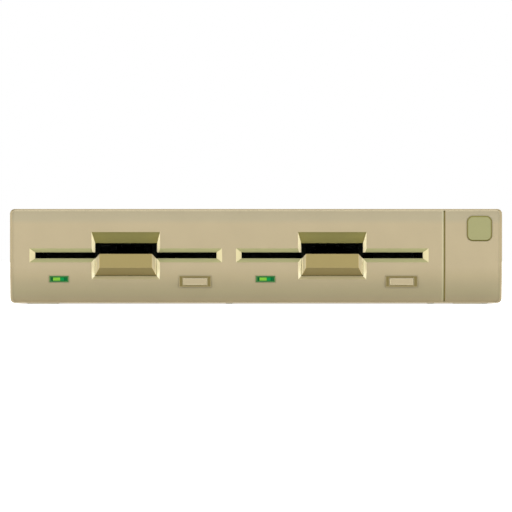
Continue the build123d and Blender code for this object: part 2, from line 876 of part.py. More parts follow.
# Mechanism frame: deck, side walls, bulkhead, rod blocks, posts and lugs
window_front_y = rod_front_y + rod_block_length
rod_back_y = bulkhead_y - shaft_end_gap
with BuildPart() as frame:
    with BuildSketch(Plane.YZ.offset(frame_inner)):
        with Locations((frame_middle_y, (frame_bottom + frame_top) / 2)):
            Rectangle(frame_length, frame_height)
        with Locations((clamp_y, clamp_pivot_z)):
            Rectangle(
                clamp_tab_length + 2 * clamp_tab_gap,
                clamp_plate + 2 * clamp_tab_gap,
                mode=Mode.SUBTRACT,
            )
        with Locations((frame_middle_y + window_shift, (deck_top + frame_top) / 2)):
            with GridLocations(window_pitch, 0, window_count, 1):
                Rectangle(window_length, window_height, mode=Mode.SUBTRACT)
    extrude(amount=frame_wall)
    mirror(about=Plane.YZ)
    extrude(shaft_slot.sketch, amount=frame_width, both=True, mode=Mode.SUBTRACT)
    with BuildSketch(Plane.XY.offset(deck_z)):
        with Locations((0, (frame_front_y + bulkhead_y) / 2)):
            Rectangle(2 * frame_inner, bulkhead_y - frame_front_y)
        notch_back_y = panel_y + deck_notch_depth
        with Locations((0, (frame_front_y + notch_back_y) / 2)):
            Rectangle(
                deck_notch_width, notch_back_y - frame_front_y, mode=Mode.SUBTRACT
            )
        with Locations((0, spindle_y)):
            Rectangle(
                bearing_size + running_fit,
                bearing_size + running_fit,
                mode=Mode.SUBTRACT,
            )
        window_middle_x = (deck_window_right - deck_window_left) / 2
        with Locations((window_middle_x, (window_front_y + bulkhead_y) / 2)):
            Rectangle(
                deck_window_left + deck_window_right,
                bulkhead_y - window_front_y,
                mode=Mode.SUBTRACT,
            )
        with Locations((0, spindle_y - deck_hole_ahead)):
            with GridLocations(2 * deck_hole_x, 0, 2, 1):
                Rectangle(deck_hole_length, deck_hole_width, mode=Mode.SUBTRACT)
    extrude(amount=deck_thickness)
    with BuildSketch(across(bulkhead_y)):
        with Locations((0, (frame_bottom + bulkhead_top) / 2)):
            Rectangle(2 * frame_inner, bulkhead_top - frame_bottom)
        with Locations((screw_x, rod_z)):
            Rectangle(motor_window, motor_window, mode=Mode.SUBTRACT)
    extrude(amount=bulkhead_thickness, dir=BACK)
    front_cradles = cradle_outline(rod_front_y, deck_top)
    extrude(front_cradles, amount=rod_block_length, dir=BACK)
    back_cradles = cradle_outline(bulkhead_y - rod_block_length, deck_z)
    extrude(back_cradles, amount=rod_block_length, dir=BACK)
    with BuildSketch(Plane.XY.offset(frame_bottom)):
        with Locations((0, frame_middle_y)):
            with GridLocations(2 * lug_x, mount_lug_pitch, 2, 2):
                Rectangle(mount_lug_width, mount_lug_length)
    extrude(amount=mount_lug_height)
    with BuildSketch(Plane.XY.offset(frame_top - board_post_drop)):
        with Locations((0, board_middle_y)):
            with GridLocations(
                2 * frame_inner - board_post, board_length - 2 * board_post_inset, 2, 2
            ):
                Rectangle(board_post, board_post)
    extrude(amount=board_z - frame_top + board_post_drop)
    with BuildSketch(Plane.XY.offset(motor_board_z + board_thickness)):
        with Locations((0, spindle_y)):
            with GridLocations(
                motor_board_width - 2 * board_post_inset,
                motor_board_length - 2 * board_post_inset,
                2,
                2,
            ):
                Rectangle(board_post, board_post)
    extrude(amount=motor_board_drop)
save_pair(frame.part, "frame")

# Plastic rails that guide the edges of the disk jacket
with BuildPart() as disk_guides:
    with BuildSketch(facing(disk_front_depth)):
        with Locations((frame_inner - guide_width / 2, disk_z)):
            Rectangle(guide_width, guide_height)
        guide_inner = frame_inner - guide_width
        groove_width = disk_size / 2 + guide_side_gap - guide_inner
        with Locations((guide_inner + groove_width / 2, disk_z)):
            Rectangle(groove_width, guide_groove, mode=Mode.SUBTRACT)
    extrude(amount=guide_length, dir=BACK)
    mouth = disk_guides.edges().filter_by(Axis.X).group_by(Axis.Y)[0]
    chamfer(mouth.sort_by(Axis.Z)[1:3], guide_lead_in)
    mirror(about=Plane.YZ)
save_pair(disk_guides.part, "disk_guides")

# Spindle: hub with a recess for the clamp hub, shaft and flat rotor in one piece
with BuildPart() as spindle:
    with BuildSketch(Plane.XY.offset(rotor_z)):
        with Locations((0, spindle_y)):
            Circle(rotor_radius)
    extrude(amount=rotor_thickness)
    with BuildSketch(Plane.XY.offset(rotor_z + rotor_thickness)):
        with Locations((0, spindle_y)):
            Circle(spindle_shaft_radius)
    extrude(amount=hub_top - hub_thickness - rotor_z - rotor_thickness)
    with BuildSketch(Plane.XY.offset(hub_top - hub_thickness)):
        with Locations((0, spindle_y)):
            Circle(hub_radius)
    extrude(amount=hub_thickness)
    with BuildSketch(Plane.XY.offset(hub_top)):
        with Locations((0, spindle_y)):
            Circle(hub_mouth_radius)
    extrude(amount=-hub_recess, mode=Mode.SUBTRACT)
save_pair(spindle.part, "spindle")

# Flanged spindle bearing let into the deck
with BuildPart() as spindle_bearing:
    with BuildSketch(Plane.XY.offset(deck_top - bearing_length)):
        with Locations((0, spindle_y)):
            Rectangle(bearing_size, bearing_size)
    extrude(amount=bearing_length)
    with BuildSketch(Plane.XY.offset(deck_top)):
        with Locations((0, spindle_y)):
            Rectangle(bearing_flange_size, bearing_flange_size)
    extrude(amount=bearing_flange)
    with BuildSketch(Plane.XY.offset(deck_top - bearing_length)):
        with Locations((0, spindle_y)):
            Circle(spindle_shaft_radius + running_fit)
    extrude(amount=bearing_length + bearing_flange, mode=Mode.SUBTRACT)
save_pair(spindle_bearing.part, "spindle_bearing")

# Motor board hanging from the deck
with BuildPart() as motor_board:
    with BuildSketch(Plane.XY.offset(motor_board_z)):
        with Locations((0, spindle_y)):
            Rectangle(motor_board_width, motor_board_length)
            Rectangle(
                bearing_size + 2 * bearing_play,
                bearing_size + 2 * bearing_play,
                mode=Mode.SUBTRACT,
            )
    extrude(amount=board_thickness)
save_pair(motor_board.part, "motor_board")

# Ring of flat coils on the underside of the motor board
with BuildPart() as motor_coils:
    coil_length = coil_outer - coil_inner
    coil_middle = (coil_outer + coil_inner) / 2
    coil_width = 2 * (coil_outer - rotor_gap) * math.tan(math.pi / coil_count)
    coil_slant = 90 - 180 / coil_count
    with BuildSketch(Plane.XY.offset(coil_z)):
        with Locations((0, spindle_y)):
            with PolarLocations(coil_middle, coil_count):
                Trapezoid(
                    coil_width - coil_band / 2, coil_length, coil_slant, rotation=90
                )
                Trapezoid(
                    coil_width - 3 * coil_band,
                    coil_length - 2 * coil_band,
                    coil_slant,
                    rotation=90,
                    mode=Mode.SUBTRACT,
                )
    extrude(amount=coil_thickness)
save_pair(motor_coils.part, "motor_coils")

# Clamp arm: a pan stamping on two side tabs, with a tail under the cam
with BuildPart() as clamp_arm:
    bar_half = frame_inner - clamp_side_gap
    with BuildSketch(mode=Mode.PRIVATE) as tongue:
        with Locations((0, clamp_y)):
            Rectangle(clamp_root_width, clamp_bar_depth)
        with Locations((0, spindle_y)):
            RegularPolygon(
                clamp_nose_radius, clamp_nose_sides, rotation=180 / clamp_nose_sides
            )
        make_hull()
    with BuildSketch(Plane.XY.offset(clamp_plate_z)) as clamp_outline:
        with Locations((0, clamp_y)):
            Rectangle(2 * bar_half, clamp_bar_depth)
        add(tongue.sketch)
    extrude(amount=clamp_flange_height)
    with BuildSketch(Plane.XY.offset(clamp_plate_z + clamp_plate)):
        add(offset(clamp_outline.sketch_local, -clamp_flange, mode=Mode.PRIVATE))
    extrude(amount=clamp_flange_height, mode=Mode.SUBTRACT)
    with BuildSketch(Plane.XY.offset(clamp_plate_z)):
        with Locations((0, clamp_y - clamp_bar_depth / 2)):
            Rectangle(cam_width, 2 * clamp_tail)
        with Locations((0, clamp_y)):
            Rectangle(2 * (frame_inner + frame_wall - shaft_end_gap), clamp_tab_length)
    extrude(amount=clamp_plate)
    with BuildSketch(Plane.XY.offset(clamp_plate_z)):
        with Locations((0, spindle_y)):
            Circle(clamp_hub_stem_radius + running_fit)
        with Locations((0, (clamp_y + spindle_y - clamp_nose_radius) / 2)):
            Rectangle(clamp_window_width, clamp_window_length)
    extrude(amount=clamp_plate, mode=Mode.SUBTRACT)
save_pair(clamp_arm.part, "clamp_arm")

# Clamp hub that centres the disk on the spindle, free to turn in the arm
clamp_hub_base = hub_top + clamp_hub_lift
clamp_hub_shoulder = clamp_hub_base + clamp_hub_body_height
clamp_hub_top = clamp_plate_z + clamp_plate + clamp_hub_stem_proud
with BuildPart() as clamp_hub:
    with BuildSketch(Plane.XY.offset(clamp_hub_base)):
        with Locations((0, spindle_y)):
            RegularPolygon(clamp_hub_nose_radius, clamp_hub_fingers)
    extrude(amount=-clamp_hub_nose_height)
    with BuildSketch(Plane.XY.offset(clamp_hub_base)):
        with Locations((0, spindle_y)):
            RegularPolygon(clamp_hub_radius, clamp_hub_fingers)
    extrude(amount=clamp_hub_body_height)
    with BuildSketch(Plane.XY.offset(clamp_hub_shoulder)):
        with Locations((0, spindle_y)):
            Circle(clamp_hub_stem_radius)
    extrude(amount=clamp_hub_top - clamp_hub_shoulder)
save_pair(clamp_hub.part, "clamp_hub")

# Two rods that carry the head carriage
with BuildPart() as guide_rods:
    with BuildSketch(across(rod_front_y)):
        with Locations((0, rod_z)):
            with GridLocations(rod_spacing, 0, 2, 1):
                Circle(rod_radius)
    extrude(amount=rod_back_y - rod_front_y, dir=BACK)
save_pair(guide_rods.part, "guide_rods")

# Stepper motor on the back of the bulkhead
motor_y = bulkhead_y + bulkhead_thickness
with BuildPart() as stepper_motor:
    with BuildSketch(across(motor_y)) as motor_outline:
        with Locations((screw_x, rod_z)):
            Rectangle(motor_size, motor_size)
        chamfer(motor_outline.vertices(), motor_corner)
    extrude(amount=motor_length, dir=BACK)
save_pair(stepper_motor.part, "stepper_motor")

# Lead screw on the motor's shaft, its front end free
with BuildPart() as lead_screw:
    with BuildSketch(across(rod_front_y)):
        with Locations((screw_x, rod_z)):
            Circle(screw_radius)
    extrude(amount=motor_y - shaft_end_gap - rod_front_y, dir=BACK)
save_pair(lead_screw.part, "lead_screw")

# Head carriage with the lower head, a fork over the lead screw and a rear tower
carriage_front_y = head_y - carriage_front
carriage_length = carriage_front + carriage_back
nut_y = arm_pivot_y - nut_length
tower_top = arm_z + arm_thickness + tower_rise
with BuildPart() as head_carriage:
    with BuildSketch(Plane.XY.offset(carriage_bottom)):
        with Locations((0, carriage_front_y + carriage_length / 2)):
            Rectangle(carriage_width, carriage_length)
        with Locations((0, head_y + carriage_window_back)):
            Rectangle(
                carriage_window_width, carriage_window_length, mode=Mode.SUBTRACT
            )
        with Locations(((carriage_width / 2 + nut_edge_x) / 2, nut_y)):
            Rectangle(nut_edge_x - carriage_width / 2, nut_length)
    extrude(amount=carriage_top - carriage_bottom)
    with BuildSketch(Plane.XY.offset(carriage_top)):
        with Locations((0, head_y)):
            Rectangle(head_size, head_size)
    extrude(amount=lower_head_top - carriage_top)
    with BuildSketch(Plane.XY.offset(carriage_top)):
        with Locations((0, arm_pivot_y)):
            with GridLocations(2 * (arm_half_width + tower_gap) + tower_width, 0, 2, 1):
                Rectangle(tower_width, tower_length)
    extrude(amount=tower_top - carriage_top)
    with BuildSketch(Plane.YZ):
        with Locations((arm_pivot_y, arm_z + arm_thickness / 2)):
            Rectangle(
                arm_tab_length + 2 * arm_tab_gap, arm_thickness + 2 * arm_tab_gap
            )
    extrude(amount=carriage_width / 2, both=True, mode=Mode.SUBTRACT)
    with BuildSketch(across(carriage_front_y)):
        with Locations((-rod_spacing / 2, rod_z)):
            Circle(rod_radius + running_fit)
        fork_z = (carriage_bottom + rod_z + rod_radius + running_fit) / 2
        fork_height = rod_z + rod_radius + running_fit - carriage_bottom
        with Locations((rod_spacing / 2, fork_z)):
            Rectangle(2 * (rod_radius + running_fit), fork_height)
        screw_top = rod_z + screw_radius + screw_gap
        with Locations((screw_x, (carriage_bottom + screw_top) / 2)):
            Rectangle(2 * (screw_radius + screw_gap), screw_top - carriage_bottom)
    extrude(amount=carriage_length, dir=BACK, mode=Mode.SUBTRACT)
save_pair(head_carriage.part, "head_carriage")

# Upper head arm, hinged on two tabs in the carriage's tower
with BuildPart() as head_arm:
    with BuildSketch(Plane.XY.offset(arm_z)):
        arm_back_y = arm_pivot_y + arm_block_length / 2
        arm_front_y = head_y - arm_tip_half_width
        with BuildLine():
            Polyline(
                (-arm_tip_half_width, arm_front_y),
                (arm_tip_half_width, arm_front_y),
                (arm_half_width, arm_pivot_y - arm_block_length / 2),
                (arm_half_width, arm_back_y),
                (-arm_half_width, arm_back_y),
                (-arm_half_width, arm_pivot_y - arm_block_length / 2),
                close=True,
            )
        make_face()
        with Locations((0, arm_pivot_y)):
            Rectangle(2 * (arm_half_width + tower_gap + tower_width), arm_tab_length)
    extrude(amount=arm_thickness)
    with BuildSketch(Plane.XY.offset(upper_head_bottom)):
        with Locations((0, head_y)):
            Rectangle(head_size, head_size)
    extrude(amount=arm_z - upper_head_bottom)
save_pair(head_arm.part, "head_arm")


def chip_group(place, z, columns, rows, step_x, step_y):
    """Dual in line chips in a grid on top of a board."""
    with BuildPart() as group:
        with BuildSketch(Plane.XY.offset(z)):
            with Locations(place):
                with GridLocations(step_x, step_y, columns, rows):
                    Rectangle(chip_length, chip_width)
        extrude(amount=chip_height)
    return group.part


# Logic board and its chips over each mechanism
with BuildPart() as logic_board:
    with BuildSketch(Plane.XY.offset(board_z)):
        with Locations((0, board_middle_y)):
            Rectangle(frame_width - 2 * board_inset, board_length)
    extrude(amount=board_thickness)
save_pair(logic_board.part, "logic_board")
logic_chips = chip_group(
    (0, board_middle_y),
    board_z + board_thickness,
    chip_columns,
    chip_rows,
    chip_step_x,
    chip_step_y,
)
save_pair(logic_chips, "logic_chips")

# Interface board and its chips in the end bay
with BuildPart() as interface_board:
    with BuildSketch(Plane.XY.offset(bay_board_z)):
        with Locations((bay_board_x, bay_board_middle_y)):
            Rectangle(bay_board_width, bay_board_length)
    extrude(amount=board_thickness)
save(interface_board.part, "interface_board")
interface_chips = chip_group(
    (bay_board_x, bay_board_middle_y - bay_chip_shift),
    bay_board_z + board_thickness,
    1,
    bay_chip_rows,
    0,
    bay_chip_step,
)
save(interface_chips, "interface_chips")


def shell_outline(inset):
    """The connector's D outline on the flange's plane, drawn smaller by an inset."""
    with BuildSketch(across(flange_y)) as outline:
        with Locations((connector_x, connector_z)):
            Trapezoid(
                shell_width - 2 * inset,
                shell_height - 2 * inset,
                90 - shell_slant,
                rotation=180,
            )
        chamfer(outline.vertices(), shell_corner)
    return outline.sketch


# Rear connector: sheet shell on its flange, moulded insert, and jack posts
with BuildPart() as connector_shell:
    with BuildSketch(across(flange_y)):
        with Locations((connector_x, connector_z)):
            Rectangle(flange_width, flange_height)
    extrude(amount=flange_thickness, dir=BACK)
    extrude(shell_outline(0), amount=shell_length, dir=BACK)
    hollow = shell_outline(shell_sheet)
    extrude(hollow, amount=shell_length, dir=BACK, mode=Mode.SUBTRACT)
save(connector_shell.part, "connector_shell")

with BuildPart() as connector_insert:
    body = shell_outline(shell_sheet + running_fit)
    extrude(body, amount=shell_length - insert_drop, dir=BACK)
save(connector_insert.part, "connector_insert")

with BuildPart() as jack_posts:
    with BuildSketch(across(case_back_y)):
        with Locations((connector_x, connector_z)):
            with GridLocations(jack_spacing, 0, 2, 1):
                RegularPolygon(jack_hex / 2, 6, major_radius=False)
                Circle(jack_hole_radius, mode=Mode.SUBTRACT)
    extrude(amount=jack_length, dir=BACK)
save(jack_posts.part, "jack_posts")
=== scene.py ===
"""Looks of the twin floppy disk drive unit: materials, small parts, light and camera."""

import math

import bmesh
import bpy
from mathutils import Matrix, Vector


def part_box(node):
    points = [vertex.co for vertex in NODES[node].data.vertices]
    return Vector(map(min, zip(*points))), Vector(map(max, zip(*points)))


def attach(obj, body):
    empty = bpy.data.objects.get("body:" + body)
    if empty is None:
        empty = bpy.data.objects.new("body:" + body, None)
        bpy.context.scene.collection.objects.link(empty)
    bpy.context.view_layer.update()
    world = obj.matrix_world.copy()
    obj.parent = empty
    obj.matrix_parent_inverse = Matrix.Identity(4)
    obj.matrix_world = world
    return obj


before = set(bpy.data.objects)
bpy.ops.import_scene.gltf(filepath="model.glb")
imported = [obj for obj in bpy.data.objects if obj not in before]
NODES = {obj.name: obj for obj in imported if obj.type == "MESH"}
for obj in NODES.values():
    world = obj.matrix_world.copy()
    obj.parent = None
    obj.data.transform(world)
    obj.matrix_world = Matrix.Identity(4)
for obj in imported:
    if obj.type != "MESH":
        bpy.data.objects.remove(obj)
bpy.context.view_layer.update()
UNIT = "unit"
SIDE_NAMES = ("left", "right")
MM = 0.001


def middle(node):
    """Middle of a node's box, in metres."""
    low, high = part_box(node)
    return (low + high) / 2


# Places read from the frame
HANDLE_PLACES = [middle(f"{side}_latch_handle").x for side in SIDE_NAMES]
FACE_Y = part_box("end_panel")[0].y
CASE_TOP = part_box("top_cover")[1].z
CASE_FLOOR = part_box("base_pan")[0].z
BACK_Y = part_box("base_pan")[1].y
PANELS = (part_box("front_bezel")[0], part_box("end_panel")[1])
BEZEL_END_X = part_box("front_bezel")[1].x
BADGE_LOW, BADGE_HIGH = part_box("badge")
SOCKET = middle("connector_insert")
SOCKET_FACE_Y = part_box("connector_insert")[1].y

# Forms of the front: groove, reach of notch and slot, curves of chin and brow
GROOVE_GAP = 0.9 * MM
GROOVE_BEVEL = 0.6 * MM
NOTCH_HALF = 26.6 * MM
SLOT_HALF = 75.0 * MM
SLOT_BAND_LOW = 18.5 * MM
SLOT_BAND_HIGH = 57.0 * MM
SLOT_Z = 38.0 * MM
THROAT_DEPTH = 3.6 * MM
CHIN_START = CASE_FLOOR + 25.8 * MM
CHIN_RADIUS = 58.5 * MM
BROW_START = CASE_TOP - 8.5 * MM
BROW_RADIUS = 60.5 * MM

# The curve from screen values to linear light
SCREEN_KNEE = 0.04045
SCREEN_SLOPE = 12.92
SCREEN_OFFSET = 0.055
SCREEN_POWER = 2.4


def linear(red, green, blue):
    """Linear colour from eight-bit screen values."""
    out = []
    for value in (red / 255, green / 255, blue / 255):
        if value <= SCREEN_KNEE:
            out.append(value / SCREEN_SLOPE)
        else:
            out.append(((value + SCREEN_OFFSET) / (1 + SCREEN_OFFSET)) ** SCREEN_POWER)
    return (*out, 1.0)


def grey(value):
    """A colour of equal parts."""
    return (value, value, value, 1.0)


def scaled(colour, factor):
    """The colour made lighter or darker."""
    return (*(min(1.0, part * factor) for part in colour[:3]), 1.0)


WHITE = grey(1.0)
# Own colour for each part of matt light that the open front shows
OPEN_FRONT = 0.485
# Light that the gloss adds, and the least that an own colour may be
GLOSS = 0.026
LEAST_COLOUR = 0.001


def tone(red, green, blue, light=1.0):
    """Own colour of a surface that shows these screen values under its share of the light; a
    share below one lightens it as painted light.
    """
    matt = [max(part - GLOSS, LEAST_COLOUR) for part in linear(red, green, blue)[:3]]
    return scaled((*matt, 1.0), OPEN_FRONT / light)


# Sockets of a mix node that mixes colours
MIX_FACTOR = 0
MIX_FIRST = 6
MIX_SECOND = 7
MIX_RESULT = 2
# Values between which a noise mostly lies, and those where its two colours are full
NOISE_LOW = 0.3
NOISE_HIGH = 0.7
FIRST_FULL = 0.35
SECOND_FULL = 0.65


class Graph:
    """A material's node tree with short calls for what every surface here needs."""

    def __init__(self, name):
        self.material = bpy.data.materials.new(name)
        self.material.use_nodes = True
        self.tree = self.material.node_tree
        self.tree.nodes.clear()
        self.out = self.tree.nodes.new("ShaderNodeOutputMaterial")
        self.shader = self.tree.nodes.new("ShaderNodeBsdfPrincipled")
        self.link(self.shader.outputs["BSDF"], self.out.inputs["Surface"])
        self.coord = self.tree.nodes.new("ShaderNodeTexCoord").outputs["Object"]

    def link(self, start, end):
        """A link between two sockets."""
        self.tree.links.new(start, end)

    def noise(self, scale, detail=3.0, rough=0.5, stretch=None):
        """A noise value in object space, finer along an axis whose stretch is more."""
        source = self.coord
        if stretch:
            mapping = self.tree.nodes.new("ShaderNodeMapping")
            mapping.inputs["Scale"].default_value = stretch
            self.link(source, mapping.inputs["Vector"])
            source = mapping.outputs["Vector"]
        node = self.tree.nodes.new("ShaderNodeTexNoise")
        node.inputs["Scale"].default_value = scale
        node.inputs["Detail"].default_value = detail
        node.inputs["Roughness"].default_value = rough
        self.link(source, node.inputs["Vector"])
        return node.outputs["Fac"]

    def along(self, axis, low, high):
        """Place along an axis of the object, from 0 at the low end to 1 at the high one."""
        split = self.tree.nodes.new("ShaderNodeSeparateXYZ")
        self.link(self.coord, split.inputs[0])
        share = self.tree.nodes.new("ShaderNodeMapRange")
        share.inputs["From Min"].default_value = low
        share.inputs["From Max"].default_value = high
        self.link(split.outputs[axis], share.inputs["Value"])
        return share.outputs["Result"]

    def span(self, value, low, high):
        """A noise value spread between two numbers."""
        node = self.tree.nodes.new("ShaderNodeMapRange")
        node.inputs["From Min"].default_value = NOISE_LOW
        node.inputs["From Max"].default_value = NOISE_HIGH
        node.inputs["To Min"].default_value = low
        node.inputs["To Max"].default_value = high
        self.link(value, node.inputs["Value"])
        return node.outputs["Result"]

    def ramp(self, value, stops):
        """Colours along a value."""
        node = self.tree.nodes.new("ShaderNodeValToRGB")
        elements = node.color_ramp.elements
        elements.remove(elements[-1])
        elements[0].position, elements[0].color = stops[0]
        for place, colour in stops[1:]:
            elements.new(place).color = colour
        self.link(value, node.inputs["Fac"])
        return node.outputs["Color"]

    def varied(self, value, colour, spread):
        """The colour, a little darker and lighter along a noise value."""
        darker = (FIRST_FULL, scaled(colour, 1 - spread))
        lighter = (SECOND_FULL, scaled(colour, 1 + spread))
        return self.ramp(value, [darker, lighter])

    def blend(self, factor, first, second, kind="MIX"):
        """Mix of two colours, each a socket or a value."""
        node = self.tree.nodes.new("ShaderNodeMix")
        node.data_type = "RGBA"
        node.blend_type = kind
        for index, value in ((MIX_FACTOR, factor), (MIX_FIRST, first), (MIX_SECOND, second)):
            if isinstance(value, bpy.types.NodeSocket):
                self.link(value, node.inputs[index])
            else:
                node.inputs[index].default_value = value
        return node.outputs[MIX_RESULT]

    def tinted(self, base, axis, stops):
        """The base colour times a tint that changes along an axis, its places in metres."""
        low, high = stops[0][0], stops[-1][0]
        places = [((place - low) / (high - low), shade) for place, shade in stops]
        shade = self.ramp(self.along(axis, low, high), places)
        return self.blend(1.0, base, shade, "MULTIPLY")

    def colour(self, source):
        """The surface's colour."""
        self.link(source, self.shader.inputs["Base Color"])

    def roughness(self, source):
        """The surface's roughness."""
        self.link(source, self.shader.inputs["Roughness"])

    def bump(self, height, depth):
        """Fine relief from a value, its depth in metres."""
        node = self.tree.nodes.new("ShaderNodeBump")
        node.inputs["Strength"].default_value = 1.0
        node.inputs["Distance"].default_value = depth
        self.link(height, node.inputs["Height"])
        self.link(node.outputs["Normal"], self.shader.inputs["Normal"])

    def fixed(self, **values):
        """Values that are the same all over the surface, on the shader's own sockets."""
        for name, value in values.items():
            self.shader.inputs[name.replace("_", " ")].default_value = value


# Patterns of the surfaces: waves to a metre, and the depth of their relief
MOTTLE_SCALE = 38.0
SPECK_SCALE = 2600.0
SPECK_DEPTH = 0.012 * MM
CLOUD_SCALE = 25.0
DRAWN_SCALE = 900.0
DRAWN_DEPTH = 0.01 * MM
COATED_DEPTH = 0.02 * MM
CAST_SCALE = 500.0
CAST_DEPTH = 0.05 * MM
TRACK_SCALE = 160.0
TRACK_WIDTH = 0.06
MASK_SCALE = 60.0
MASK_DEPTH = 0.02 * MM
RIB_SCALE = 1500.0
RIB_DEPTH = 0.02 * MM
RIB_STRETCH = (1, 1, 4)
SIMPLE = 2.0
DETAILED = 4.0
GRAIN_ROUGHNESS = 0.6
# How far each pattern changes the colour, and the share of the second one
GRAIN_SPREAD = 0.12
CLOUD_SPREAD = 0.08
MASK_SPREAD = 0.25
RIB_SPREAD = 0.12
SPECK_SHARE = 0.5
CLOUD_SHARE = 0.4
# Lowest and highest roughness; plastic and metal add it to their own
PLASTIC_SHEEN = (-0.04, 0.05)
METAL_SHEEN = (-0.07, 0.09)
BOARD_SHEEN = (0.28, 0.4)
LENS_SHEEN = (0.2, 0.3)
LENS_SPECULAR = 0.04


def plastic(name, colour, rough=0.5, spread=0.035, specular=0.16, tints=()):
    """Moulded plastic: fine grain, faint mottling, uneven sheen, and tints along the axes."""
    graph = Graph(name)
    mottle = graph.noise(MOTTLE_SCALE, DETAILED)
    speck = graph.noise(SPECK_SCALE, SIMPLE)
    mottled = graph.varied(mottle, colour, spread)
    base = graph.blend(SPECK_SHARE, mottled, graph.varied(speck, colour, spread))
    for axis, stops in tints:
        base = graph.tinted(base, axis, stops)
    graph.colour(base)
    graph.roughness(graph.span(mottle, *(rough + step for step in PLASTIC_SHEEN)))
    graph.bump(speck, SPECK_DEPTH)
    graph.fixed(Specular_IOR_Level=specular)
    return graph.material


def metal(name, colour, rough, stretch=(1, 1, 1), depth=DRAWN_DEPTH, scale=DRAWN_SCALE):
    """Metal with a drawn or cast grain."""
    graph = Graph(name)
    grain = graph.noise(scale, rough=GRAIN_ROUGHNESS, stretch=stretch)
    cloud = graph.noise(CLOUD_SCALE)
    grained = graph.varied(grain, colour, GRAIN_SPREAD)
    clouded = graph.varied(cloud, colour, CLOUD_SPREAD)
    graph.colour(graph.blend(CLOUD_SHARE, grained, clouded))
    graph.roughness(graph.span(grain, *(rough + step for step in METAL_SHEEN)))
    graph.bump(grain, depth)
    graph.fixed(Metallic=1.0)
    return graph.material


def board(name):
    """Green circuit board with fine tracks showing through the mask."""
    graph = Graph(name)
    tracks = graph.tree.nodes.new("ShaderNodeTexBrick")
    for socket, value in (
        ("Scale", TRACK_SCALE),
        ("Mortar Size", TRACK_WIDTH),
        ("Color1", linear(28, 92, 48)),
        ("Color2", linear(24, 82, 44)),
        ("Mortar", linear(66, 132, 70)),
    ):
        tracks.inputs[socket].default_value = value
    graph.link(graph.coord, tracks.inputs["Vector"])
    cloud = graph.noise(MASK_SCALE)
    shade = graph.varied(cloud, linear(28, 89, 48), MASK_SPREAD)
    graph.colour(graph.blend(CLOUD_SHARE, tracks.outputs["Color"], shade))
    graph.roughness(graph.span(cloud, *BOARD_SHEEN))
    graph.bump(tracks.outputs["Fac"], MASK_DEPTH)
    return graph.material


def lens(name, colour, glow):
    """Tinted lamp window with a ribbed diffuser, faintly lit."""
    graph = Graph(name)
    ribs = graph.noise(RIB_SCALE, SIMPLE, stretch=RIB_STRETCH)
    tint = graph.varied(ribs, colour, RIB_SPREAD)
    graph.colour(tint)
    graph.link(tint, graph.shader.inputs["Emission Color"])
    graph.fixed(Emission_Strength=glow, Specular_IOR_Level=LENS_SPECULAR)
    graph.roughness(graph.span(ribs, *LENS_SHEEN))
    graph.bump(ribs, RIB_DEPTH)
    return graph.material


BEIGE = tone(197, 182, 148)


def against_beige(red, green, blue):
    """The tint that turns the front's beige into these screen values."""
    pairs = zip(tone(red, green, blue)[:3], BEIGE[:3])
    return (*(wanted / own for wanted, own in pairs), 1.0)


def depth_painted_light(front, back, shade):
    """Painted light: a tint that grows from the front to the back, lightening the deeper parts
    where less light comes.
    """
    return ("Y", [(FACE_Y + front * MM, WHITE), (FACE_Y + back * MM, shade)])


# Painted shade on the front by height over the table: darker below where the chin turns down,
# a touch greyer along the top, and a painted highlight at the top edge
FRONT_SHADING_COLOURS = (
    (3.0, (180, 166, 133)),
    (6.2, (174, 163, 131)),
    (9.7, (176, 166, 132)),
    (16.0, (181, 169, 136)),
    (22.0, (190, 176, 141)),
    (29.0, (197, 182, 148)),
    (62.0, (197, 182, 148)),
    (66.0, (189, 178, 148)),
    (71.6, (187, 176, 146)),
    (72.8, (212, 200, 168)),
)
FRONT_PAINTED_SHADING = ("Z", [(z * MM, against_beige(*shade)) for z, shade in FRONT_SHADING_COLOURS])

# Painted highlight along the front panel's edge beside the groove, where its chamfer catches
# the light
GROOVE_EDGE_HIGHLIGHT = against_beige(214, 203, 165)
HIGHLIGHT_START_X = BEZEL_END_X - 1.45 * MM
HIGHLIGHT_BLUR = 0.1 * MM
EDGE_PAINTED_HIGHLIGHT = (
    "X",
    [(HIGHLIGHT_START_X - HIGHLIGHT_BLUR, WHITE), (HIGHLIGHT_START_X, GROOVE_EDGE_HIGHLIGHT), (BEZEL_END_X, GROOVE_EDGE_HIGHLIGHT)],
)

# Painted shade on the rim of the case, which catches the light from above: darker at its front
# edge
RIM_PAINTED_SHADE = ("Y", [(FACE_Y + 0.2 * MM, (0.93, 0.91, 0.84, 1.0)), (FACE_Y + 1.5 * MM, WHITE)])

# Painted light: the lower bevel of a slot is a touch lighter than the upper one
LOWER_BEVEL_PAINTED_LIGHT = ("Z", [(37 * MM, (1.08, 1.08, 1.1, 1.0)), (39 * MM, WHITE)])

# Painted shade and highlight on the rim of the badge: darkest below and pale along the top
BADGE_RIM_PAINTED_SHADE = (
    "Z",
    [
        (BADGE_LOW.z, (0.8, 0.78, 0.65, 1.0)),
        (BADGE_LOW.z + 2.5 * MM, (1.42, 1.34, 1.7, 1.0)),
        (BADGE_HIGH.z - 3 * MM, (1.45, 1.36, 1.75, 1.0)),
        (BADGE_HIGH.z, (1.8, 1.85, 2.2, 1.0)),
    ],
)

# Case and front panels
case_plastic = plastic("case_plastic", BEIGE, tints=[RIM_PAINTED_SHADE])
# The bead is painted lighter, against the shade in the gap it closes
bead_painted_light = plastic("bead_painted_light", scaled(BEIGE, 1.16), tints=[FRONT_PAINTED_SHADING])
front_plastic = plastic("front_plastic", BEIGE, tints=[FRONT_PAINTED_SHADING])
bezel_plastic = plastic("bezel_plastic", BEIGE, tints=[FRONT_PAINTED_SHADING, EDGE_PAINTED_HIGHLIGHT])
